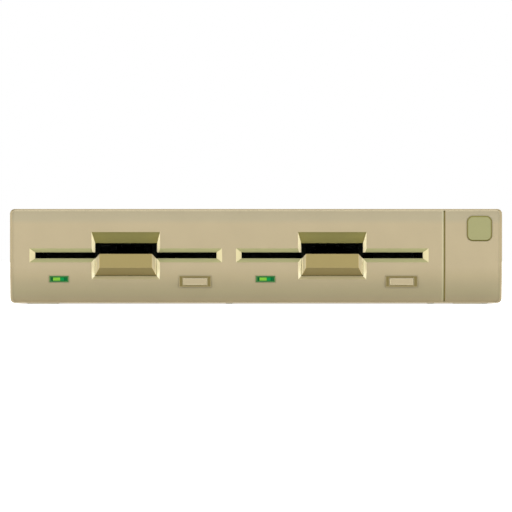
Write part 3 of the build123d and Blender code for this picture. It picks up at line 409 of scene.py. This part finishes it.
# Painted shade in the groove: its gap and its far side darker
groove_shade = plastic("groove_shade", tone(131, 122, 75, 0.5))
groove_side_shade = plastic("groove_side_shade", tone(175, 159, 123, 0.9))
badge_face = plastic("badge_face", tone(172, 170, 123), rough=0.4, spread=0.02)
# Painted shade: the badge's rim is dark like the shade round a bevel
badge_rim_shaded = plastic("badge_rim_shaded", tone(121, 116, 68), spread=0.02, tints=[BADGE_RIM_PAINTED_SHADE])
rubber = plastic("foot_rubber", linear(228, 225, 216), rough=0.85, spread=0.06)

# Notches and slots, in lit and shaded copies of the front's plastic: painted highlight on the
# sides, painted shade on the bevels above and below, with painted light growing deeper in; the
# last number of a tone says how much of the light comes there
UPPER_PAINTED_LIGHT = depth_painted_light(0, 4, grey(1.25))
LOWER_PAINTED_LIGHT = depth_painted_light(1, 4, (1.4, 1.5, 1.7, 1.0))
SHADE_PAINTED_LIGHT = depth_painted_light(0, 12, grey(1.8))
slot_side_highlight = plastic("slot_side_highlight", tone(236, 224, 178, 0.82))
upper_notch_highlight = plastic("upper_notch_highlight", tone(238, 227, 188, 0.53), tints=[UPPER_PAINTED_LIGHT])
lower_notch_highlight = plastic("lower_notch_highlight", tone(238, 228, 192, 0.645), tints=[LOWER_PAINTED_LIGHT])
slot_bevel_shade = plastic("slot_bevel_shade", tone(172, 170, 127, 0.7), tints=[LOWER_BEVEL_PAINTED_LIGHT])
notch_shade = plastic("notch_shade", tone(131, 126, 84, 0.66), tints=[SHADE_PAINTED_LIGHT])
notch_floor_shade = plastic("notch_floor_shade", tone(172, 162, 128, 0.57))
# Painted shade: near black where the throats, the handles' hollows, the socket's pits and the
# screw recesses lie in shade
painted_shade_black = plastic("painted_shade_black", linear(2, 5, 2), rough=0.9, specular=0.03)

# Latch handle: painted highlight on its sides and rounded edges, painted shade on its
# underside, and painted light growing deeper along its flanks
FLANK_PAINTED_LIGHT = depth_painted_light(0.8, 3.4, (2.6, 2.8, 3.1, 1.0))
tan_plastic = plastic("tan_plastic", tone(173, 157, 105), rough=0.42)
tan_under_shade = plastic("tan_under_shade", tone(139, 126, 87, 0.8), rough=0.45)
tan_side_highlight = plastic("tan_side_highlight", tone(207, 194, 158, 0.8), rough=0.42, tints=[FLANK_PAINTED_LIGHT])
tan_edge_highlight = plastic("tan_edge_highlight", tone(206, 184, 130), rough=0.42)

# Push button and its surround; painted light on the button's edges and on the surround's
# rounded edge
button_surround = plastic("button_surround", tone(139, 126, 82))
surround_edge_highlight = plastic("surround_edge_highlight", tone(184, 171, 137, 0.68))
button_plastic = plastic("button_plastic", tone(200, 185, 151), rough=0.38)
button_edge_highlight = plastic("button_edge_highlight", tone(189, 178, 148, 0.55), rough=0.38)

# Activity lamp
lamp_frame = plastic("lamp_frame", tone(76, 130, 78), spread=0.08, specular=0.1)
lamp_edge = plastic("lamp_edge", tone(158, 163, 118, 0.75), specular=0.1)
lamp_dark = plastic("lamp_dark", tone(0, 103, 62), spread=0.08, specular=0.02)
lamp_lime = lens("lamp_lime", tone(135, 198, 78), 0.12)
lamp_green = lens("lamp_green", tone(0, 151, 82), 0.08)
lamp_deep = lens("lamp_deep", tone(0, 122, 74), 0.04)

# Inside and back
dark_plastic = plastic("dark_plastic", linear(6, 8, 5), rough=0.8, specular=0.05)
chip_plastic = plastic("chip_plastic", linear(30, 31, 33), rough=0.6)
cast_alloy = metal("cast_alloy", linear(84, 86, 82), 0.55, depth=CAST_DEPTH, scale=CAST_SCALE)
steel = metal("steel", linear(196, 197, 198), 0.24)
blackened = metal("blackened_steel", linear(14, 16, 13), 0.6, depth=COATED_DEPTH)
zinc = metal("zinc_steel", linear(196, 194, 182), 0.34, (6, 1, 1))
copper = metal("copper", linear(196, 112, 60), 0.3, (1, 14, 1))
green_board = board("board")

BY_NAME = {
    "top_cover": case_plastic,
    "base_pan": case_plastic,
    "feet": rubber,
    "front_bezel": bezel_plastic,
    "end_panel": front_plastic,
    "badge": badge_face,
    "interface_board": green_board,
    "interface_chips": chip_plastic,
    "connector_shell": zinc,
    "connector_insert": dark_plastic,
    "jack_posts": zinc,
    "activity_lamp": lamp_frame,
    "button_frame": button_surround,
    "push_button": button_plastic,
    "button_switch": dark_plastic,
    "latch_handle": tan_plastic,
    "latch_bracket": dark_plastic,
    "latch_shaft": blackened,
    "frame": cast_alloy,
    "disk_guides": dark_plastic,
    "spindle": steel,
    "spindle_bearing": steel,
    "motor_board": green_board,
    "motor_coils": copper,
    "clamp_arm": blackened,
    "clamp_hub": dark_plastic,
    "guide_rods": steel,
    "lead_screw": steel,
    "stepper_motor": blackened,
    "head_carriage": dark_plastic,
    "head_arm": dark_plastic,
    "logic_board": green_board,
    "logic_chips": chip_plastic,
}


def base_name(node):
    """The node's name without its side."""
    for side in SIDE_NAMES:
        if node.startswith(side + "_"):
            return node[len(side) + 1 :]
    return node


def dress(obj, *materials):
    """Give an object these materials in order."""
    obj.data.materials.clear()
    for material in materials:
        obj.data.materials.append(material)


def paint(obj, choose, *materials):
    """Dress an object, and choose each face's material by its centre and direction."""
    dress(obj, *materials)
    for face in obj.data.polygons:
        face.material_index = materials.index(choose(face.center, face.normal))


for name, obj in NODES.items():
    dress(obj, BY_NAME[base_name(name)])

# Shares of a face's direction that lie along an axis, from hardly any to nearly all
LEVEL = 0.02
TILTED = 0.15
LEANING = 0.2
TURNED = 0.3
SQUARE = 0.9
STRAIGHT = 0.95
# Distance within which a face still counts as flush
SKIN = 0.05 * MM


def cut_material(offset, centre, normal):
    """Material of one face of a notch or slot, this far to the side of its middle: painted
    highlight or shade by the way the face turns.
    """
    in_notch = offset < NOTCH_HALF
    if abs(normal.x) > LEANING and in_notch:
        return upper_notch_highlight if centre.z > SLOT_Z else lower_notch_highlight
    if abs(normal.x) > LEANING:
        return slot_side_highlight
    if normal.z < -LEANING:
        return notch_shade if in_notch else slot_bevel_shade
    if normal.z > LEANING:
        return notch_floor_shade if in_notch else slot_bevel_shade
    return bezel_plastic


def bezel_material(centre, normal):
    """Material of one face of the front panel, with painted shade and highlight in the groove,
    throats, notches and slots.
    """
    depth = centre.y - FACE_Y
    if normal.x > SQUARE and centre.x > BEZEL_END_X - SKIN:
        return groove_shade
    for x in HANDLE_PLACES:
        offset = abs(centre.x - x)
        if offset > SLOT_HALF or not SLOT_BAND_LOW < centre.z < SLOT_BAND_HIGH:
            continue
        if normal.y > -LEVEL and depth > THROAT_DEPTH:
            return painted_shade_black
        if abs(normal.y) <= STRAIGHT and depth >= SKIN:
            return cut_material(offset, centre, normal)
    return bezel_plastic


def end_material(centre, normal):
    """Material of one face of the end panel: painted shade in the groove."""
    groove_end = BEZEL_END_X + GROOVE_GAP
    if normal.x < -TURNED and centre.x < groove_end + GROOVE_BEVEL:
        return groove_shade if normal.x < -SQUARE else groove_side_shade
    return groove_shade if centre.x < groove_end else front_plastic


def handle_material(centre, normal):
    """Material of one face of a handle: painted highlight on the sides, painted shade on the
    underside and in the hollow.
    """
    if normal.y > TURNED:
        return painted_shade_black
    if abs(normal.x) > TILTED and abs(normal.x) > abs(normal.z):
        return tan_side_highlight
    if normal.z < -TILTED:
        return tan_under_shade
    return tan_plastic


def button_material(centre, normal):
    """Material of one face of a push button: its front, or its edges with painted light."""
    return button_plastic if normal.y < -SQUARE else button_edge_highlight


BEZEL_MATERIALS = (
    bezel_plastic,
    slot_side_highlight,
    upper_notch_highlight,
    lower_notch_highlight,
    slot_bevel_shade,
    notch_shade,
    notch_floor_shade,
    painted_shade_black,
    groove_shade,
)
HANDLE_MATERIALS = (tan_plastic, tan_side_highlight, tan_under_shade, painted_shade_black, tan_edge_highlight)
paint(NODES["front_bezel"], bezel_material, *BEZEL_MATERIALS)
paint(NODES["end_panel"], end_material, front_plastic, groove_shade, groove_side_shade)
for side in SIDE_NAMES:
    paint(NODES[f"{side}_latch_handle"], handle_material, *HANDLE_MATERIALS)
    paint(NODES[f"{side}_push_button"], button_material, button_plastic, button_edge_highlight)

WELD_REACH = 0.001 * MM
BEVEL_ANGLE = math.radians(30)
OWN_SLOT = -1


def soften(obj, width, segments=2, rim=OWN_SLOT):
    """Rounded edges on a hard piece, in the rim's material slot if one is given."""
    obj.modifiers.new("weld", "WELD").merge_threshold = WELD_REACH
    mod = obj.modifiers.new("edge", "BEVEL")
    mod.use_clamp_overlap = False
    mod.width = width
    mod.segments = segments
    mod.limit_method = "ANGLE"
    mod.angle_limit = BEVEL_ANGLE
    mod.material = rim
    obj.modifiers.new("normals", "WEIGHTED_NORMAL")


# Width of the rounded edges, in millimetres
SOFT_EDGES = {
    "top_cover": 0.3,
    "base_pan": 0.3,
    "feet": 0.3,
    "clamp_arm": 0.2,
    "frame": 0.3,
    "stepper_motor": 0.4,
    "logic_chips": 0.2,
    "interface_chips": 0.2,
}
HANDLE_EDGE = 0.2 * MM
SURROUND_EDGE = 0.32 * MM
for name, obj in NODES.items():
    width = SOFT_EDGES.get(base_name(name))
    if width:
        soften(obj, width * MM)
for side in SIDE_NAMES:
    handle = NODES[f"{side}_latch_handle"]
    # The handle's rounded edges carry a painted highlight
    soften(handle, HANDLE_EDGE, rim=HANDLE_MATERIALS.index(tan_edge_highlight))
    # Rounded edges of the surrounds; the button's carries painted light against the shade of
    # its gap
    for node, edge in (("button_frame", surround_edge_highlight), ("activity_lamp", lamp_edge)):
        surround = NODES[f"{side}_{node}"]
        surround.data.materials.append(edge)
        last_slot = len(surround.data.materials) - 1
        soften(surround, SURROUND_EDGE, segments=1, rim=last_slot)


def new_piece(name, build, material, body):
    """A mesh piece built in the row frame, riding on a body."""
    mesh = bpy.data.meshes.new(name)
    bm = bmesh.new()
    build(bm)
    bm.to_mesh(mesh)
    bm.free()
    obj = bpy.data.objects.new(name, mesh)
    bpy.context.collection.objects.link(obj)
    mesh.materials.append(material)
    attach(obj, body)
    return obj


def add_box(bm, low, high):
    """A box between two corners."""
    size = [b - a for a, b in zip(low, high)]
    centre = [(a + b) / 2 for a, b in zip(low, high)]
    matrix = Matrix.Translation(centre) @ Matrix.Diagonal((*size, 1.0))
    bmesh.ops.create_cube(bm, size=1.0, matrix=matrix)


def add_disc(bm, centre, axis, depth, radius, tip, segments):
    """A short cylinder or cone along an axis, from one radius to the tip's."""
    turn = Vector((0, 0, 1)).rotation_difference(Vector(axis)).to_matrix().to_4x4()
    bmesh.ops.create_cone(
        bm,
        cap_ends=True,
        segments=segments,
        radius1=radius,
        radius2=tip,
        depth=depth,
        matrix=Matrix.Translation(centre) @ turn,
    )


# Lamp: a dark mask with a lime window, a green one and a deep green end. Each has its start
# and end along X from the lamp's middle, half its height and how far it stands proud, in mm
LAMP_SEGMENTS = (
    ("mask", lamp_dark, -6.1, 6.4, 1.4, 0.06),
    ("lime", lamp_lime, -4.6, 0.9, 1.2, 0.12),
    ("green", lamp_green, 0.9, 4.1, 1.2, 0.12),
    ("deep", lamp_deep, 4.7, 6.0, 1.2, 0.12),
)
LAMP_EDGE = 0.1 * MM
for side in SIDE_NAMES:
    lamp = middle(f"{side}_activity_lamp")
    for tag, material, start, end, half, proud in LAMP_SEGMENTS:
        corners = (
            (lamp.x + start * MM, FACE_Y - proud * MM, lamp.z - half * MM),
            (lamp.x + end * MM, FACE_Y + proud * MM, lamp.z + half * MM),
        )
        window = new_piece(
            f"{side}_lamp_{tag}",
            lambda bm, c=corners: add_box(bm, *c),
            material,
            UNIT,
        )
        soften(window, LAMP_EDGE)

CORNER_STEPS = 6


def rounded_path(low, high, corner, grow, side_steps):
    """Points round a rounded rectangle, grown by a distance, its uprights cut into steps."""
    radius = corner + grow
    centre = (low + high) / 2
    corners = ((high.x, high.z), (low.x, high.z), (low.x, low.z), (high.x, low.z))
    path = []
    for quarter, (x, z) in enumerate(corners):
        pivot_x = x + (corner if x < centre.x else -corner)
        pivot_z = z + (corner if z < centre.z else -corner)
        for step in range(CORNER_STEPS + 1):
            turn = math.radians(90 * (quarter + step / CORNER_STEPS))
            path.append((pivot_x + radius * math.cos(turn), pivot_z + radius * math.sin(turn)))
        if quarter % 2:
            side_x, near_z = path[-1]
            far_z = low.z + corner if quarter == 1 else high.z - corner
            for step in range(1, side_steps):
                path.append((side_x, near_z + (far_z - near_z) * step / side_steps))
    return path


def flat(_):
    """No setback at any height."""
    return 0.0


def front_setback(z):
    """How far the curved front lies behind its flat middle at a height."""
    run, radius = max(CHIN_START - z, 0.0), CHIN_RADIUS
    if z > BROW_START:
        run, radius = z - BROW_START, BROW_RADIUS
    return radius - math.sqrt(radius**2 - run**2)


def band(bm, low, high, corner, section, setback=flat, side_steps=1):
    """A closed band round a rounded rectangle; the section lists its growth and depth."""
    rings = [
        [
            bm.verts.new((x, depth + setback(z), z))
            for x, z in rounded_path(low, high, corner, grow, side_steps)
        ]
        for grow, depth in section
    ]
    for first, second in zip(rings, rings[1:] + rings[:1]):
        count = len(first)
        for index in range(count):
            other = (index + 1) % count
            bm.faces.new((first[index], first[other], second[other], second[index]))


# Bead that closes the thin gap between the front panels and the rim of the case
BEAD_OUT = 0.2 * MM
BEAD_IN = -0.22 * MM
BEAD_FRONT_Y = FACE_Y - 0.42 * MM
BEAD_BACK_Y = FACE_Y + 0.1 * MM
BEAD_CORNER = 2.85 * MM
BEAD_SIDE_STEPS = 24
BEAD_SECTION = (
    (BEAD_OUT, BEAD_FRONT_Y),
    (BEAD_IN, BEAD_FRONT_Y),
    (BEAD_IN, BEAD_BACK_Y),
    (BEAD_OUT, BEAD_BACK_Y),
)


def bead(bm):
    """The bead, which follows the curves of chin and brow."""
    band(bm, *PANELS, BEAD_CORNER, BEAD_SECTION, front_setback, BEAD_SIDE_STEPS)


new_piece("panel_bead", bead, bead_painted_light, UNIT)

# Raised rim of the bare badge
BADGE_CORNER = 4.6 * MM
RIM_WIDTH = 0.88 * MM
RIM_MIDDLE = 0.45 * MM
RIM_ROOT_Y = BADGE_LOW.y + 0.1 * MM
RIM_OUTER_Y = BADGE_LOW.y - 0.02 * MM
RIM_CREST_Y = BADGE_LOW.y - 0.14 * MM
RIM_INNER_Y = BADGE_LOW.y - 0.08 * MM
RIM_SECTION = (
    (0.0, RIM_ROOT_Y),
    (0.0, RIM_OUTER_Y),
    (-RIM_MIDDLE, RIM_CREST_Y),
    (-RIM_WIDTH, RIM_INNER_Y),
    (-RIM_WIDTH, RIM_ROOT_Y),
)


def rim(bm):
    """The badge's rim."""
    band(bm, BADGE_LOW, BADGE_HIGH, BADGE_CORNER, RIM_SECTION)


new_piece("badge_rim_shaded", rim, badge_rim_shaded, UNIT)

# Contact pits of the rear socket, in two rows: painted shade, dark rounds where the holes
# would be
PIT_PITCH = 2.76 * MM
PIT_ROWS = ((13, 1.42 * MM), (12, -1.42 * MM))
PIT_RADIUS = 0.6 * MM
PIT_DEPTH = 0.06 * MM
PIT_SIDES = 12
BACKWARD = (0, 1, 0)
DOWNWARD = (0, 0, -1)


def pits(bm):
    """Dark rounds of painted shade on the face of the socket's insert."""
    for count, rise in PIT_ROWS:
        for index in range(count):
            x = SOCKET.x + (index - (count - 1) / 2) * PIT_PITCH
            place = (x, SOCKET_FACE_Y, SOCKET.z + rise)
            add_disc(bm, place, BACKWARD, PIT_DEPTH, PIT_RADIUS, PIT_RADIUS, PIT_SIDES)


new_piece("socket_pit_shades", pits, painted_shade_black, UNIT)

# Screws under the case and on its back
SCREW_RADIUS = 3.2 * MM
SCREW_TIP = SCREW_RADIUS * 0.78
SCREW_SIDES = 24
RECESS_LONG = 1.7 * MM
RECESS_SHORT = 0.35 * MM
RECESS_SKIN = 0.03 * MM
RECESS_LIFT = RECESS_SKIN / 3
UNDER_RISE = 0.9 * MM
REAR_RISE = 1.2 * MM
UNDER_PLACES_X = (-176.0 * MM, -20.9 * MM, 136.0 * MM, 178.0 * MM)
UNDER_PLACES_Y = (FACE_Y + 45 * MM, BACK_Y - 37.5 * MM)
REAR_PLACES_X = (-178.0 * MM, -60.0 * MM, 60.0 * MM)
REAR_Z = 22 * MM
UNDER_SCREWS = [(x, y, CASE_FLOOR) for x in UNDER_PLACES_X for y in UNDER_PLACES_Y]
REAR_SCREWS = [(x, BACK_Y, REAR_Z) for x in REAR_PLACES_X]


def heads(bm, places, axis, rise):
    """Pan heads standing on a surface."""
    for place in places:
        head = Vector(place) + Vector(axis) * rise / 2
        add_disc(bm, head, axis, rise, SCREW_RADIUS, SCREW_TIP, SCREW_SIDES)


def recesses(bm, places, axis, rise):
    """Crossed recesses on top of the heads, as thin sheets of painted shade."""
    for place in places:
        top = Vector(place) + Vector(axis) * (rise + RECESS_LIFT)
        for lengths in ([RECESS_SHORT, RECESS_LONG], [RECESS_LONG, RECESS_SHORT]):
            half = Vector([RECESS_SKIN if part else lengths.pop() for part in axis])
            add_box(bm, top - half, top + half)


for tag, *group in (
    ("under", UNDER_SCREWS, DOWNWARD, UNDER_RISE),
    ("rear", REAR_SCREWS, BACKWARD, REAR_RISE),
):
    for kind, shape, material in (
        ("screws", heads, zinc),
        ("screw_recess_shades", recesses, painted_shade_black),
    ):
        new_piece(
            f"{kind}_{tag}",
            lambda bm, s=shape, g=group: s(bm, *g),
            material,
            UNIT,
        )

# Floor: white and faintly lit, but clear from below, so that the underside shows
FLOOR_SIZE = 60.0
FLOOR_GLOW = 0.55
FLOOR_CLOUD_SCALE = 0.8


def floor_material():
    """White above and clear on the underside."""
    graph = Graph("floor_white")
    cloud = graph.noise(FLOOR_CLOUD_SCALE, SIMPLE)
    lowest, highest = linear(252, 252, 251), linear(254, 254, 253)
    graph.colour(graph.ramp(cloud, [(NOISE_LOW, lowest), (NOISE_HIGH, highest)]))
    graph.fixed(Emission_Color=WHITE, Emission_Strength=FLOOR_GLOW)
    graph.fixed(Roughness=0.9, Specular_IOR_Level=0.1)
    side_seen = graph.tree.nodes.new("ShaderNodeNewGeometry")
    clear = graph.tree.nodes.new("ShaderNodeBsdfTransparent")
    either = graph.tree.nodes.new("ShaderNodeMixShader")
    graph.link(side_seen.outputs["Backfacing"], either.inputs[0])
    graph.link(graph.shader.outputs["BSDF"], either.inputs[1])
    graph.link(clear.outputs[0], either.inputs[2])
    graph.link(either.outputs[0], graph.out.inputs["Surface"])
    return graph.material


bpy.ops.mesh.primitive_plane_add(size=FLOOR_SIZE, location=(0, 0, 0))
floor = bpy.context.object
floor.name = "floor"
dress(floor, floor_material())

# Studio: a soft white sky, and a plain white backdrop for the camera alone
SKY = 0.82
world = bpy.data.worlds.new("studio")
bpy.context.scene.world = world
world.use_nodes = True
tree = world.node_tree
tree.nodes.clear()
sky = tree.nodes.new("ShaderNodeBackground")
sky.inputs["Strength"].default_value = SKY
backdrop = tree.nodes.new("ShaderNodeBackground")
for node in (sky, backdrop):
    node.inputs["Color"].default_value = WHITE
light_path = tree.nodes.new("ShaderNodeLightPath")
mix = tree.nodes.new("ShaderNodeMixShader")
world_out = tree.nodes.new("ShaderNodeOutputWorld")
tree.links.new(light_path.outputs["Is Camera Ray"], mix.inputs[0])
tree.links.new(sky.outputs[0], mix.inputs[1])
tree.links.new(backdrop.outputs[0], mix.inputs[2])
tree.links.new(mix.outputs[0], world_out.inputs["Surface"])

# Azimuth and strength of the lights that come in pairs, from left and right
LIGHT_PAIRS = ((30, 0.92), (62, 1.1), (140, 0.8))
PAIR_ELEVATION = 10
PAIR_SPREAD = 30
TOP_BACK_LIGHT = {"azimuth": 180, "elevation": 65, "strength": 1.4, "spread": 40}


def far_light(name, azimuth, elevation, strength, spread):
    """A soft light from far off: azimuth 0 is straight in front and 90 is at the right."""
    data = bpy.data.lights.new(name, "SUN")
    data.energy = strength
    data.angle = math.radians(spread)
    obj = bpy.data.objects.new(name, data)
    turn, rise = math.radians(azimuth), math.radians(elevation)
    toward = Vector(
        (math.sin(turn) * math.cos(rise), -math.cos(turn) * math.cos(rise), math.sin(rise))
    )
    obj.rotation_euler = toward.to_track_quat("Z", "Y").to_euler()
    bpy.context.collection.objects.link(obj)


for azimuth, strength in LIGHT_PAIRS:
    far_light(f"left_{azimuth}", -azimuth, PAIR_ELEVATION, strength, PAIR_SPREAD)
    far_light(f"right_{azimuth}", azimuth, PAIR_ELEVATION, strength, PAIR_SPREAD)
far_light("top_back", **TOP_BACK_LIGHT)

# Camera: straight in front, from so far off that it flattens depth
CAMERA_HEIGHT = 37.5 * MM
# Width of one pixel at the front of the unit
PIXEL = 0.77236 * MM
FRAME_PIXELS = 512
LENS_MM = 400.0
SENSOR_MM = 36.0
FARTHEST = 100.0
camera_data = bpy.data.cameras.new("camera")
camera_data.lens = LENS_MM
camera_data.sensor_width = SENSOR_MM
camera_data.clip_end = FARTHEST
camera = bpy.data.objects.new("camera", camera_data)
bpy.context.collection.objects.link(camera)
distance = FRAME_PIXELS * PIXEL * LENS_MM / SENSOR_MM
camera.location = (0.0, FACE_Y - distance, CAMERA_HEIGHT)
camera.rotation_euler = (math.radians(90), 0, 0)
bpy.context.scene.camera = camera

bpy.context.scene.view_settings.view_transform = "Standard"
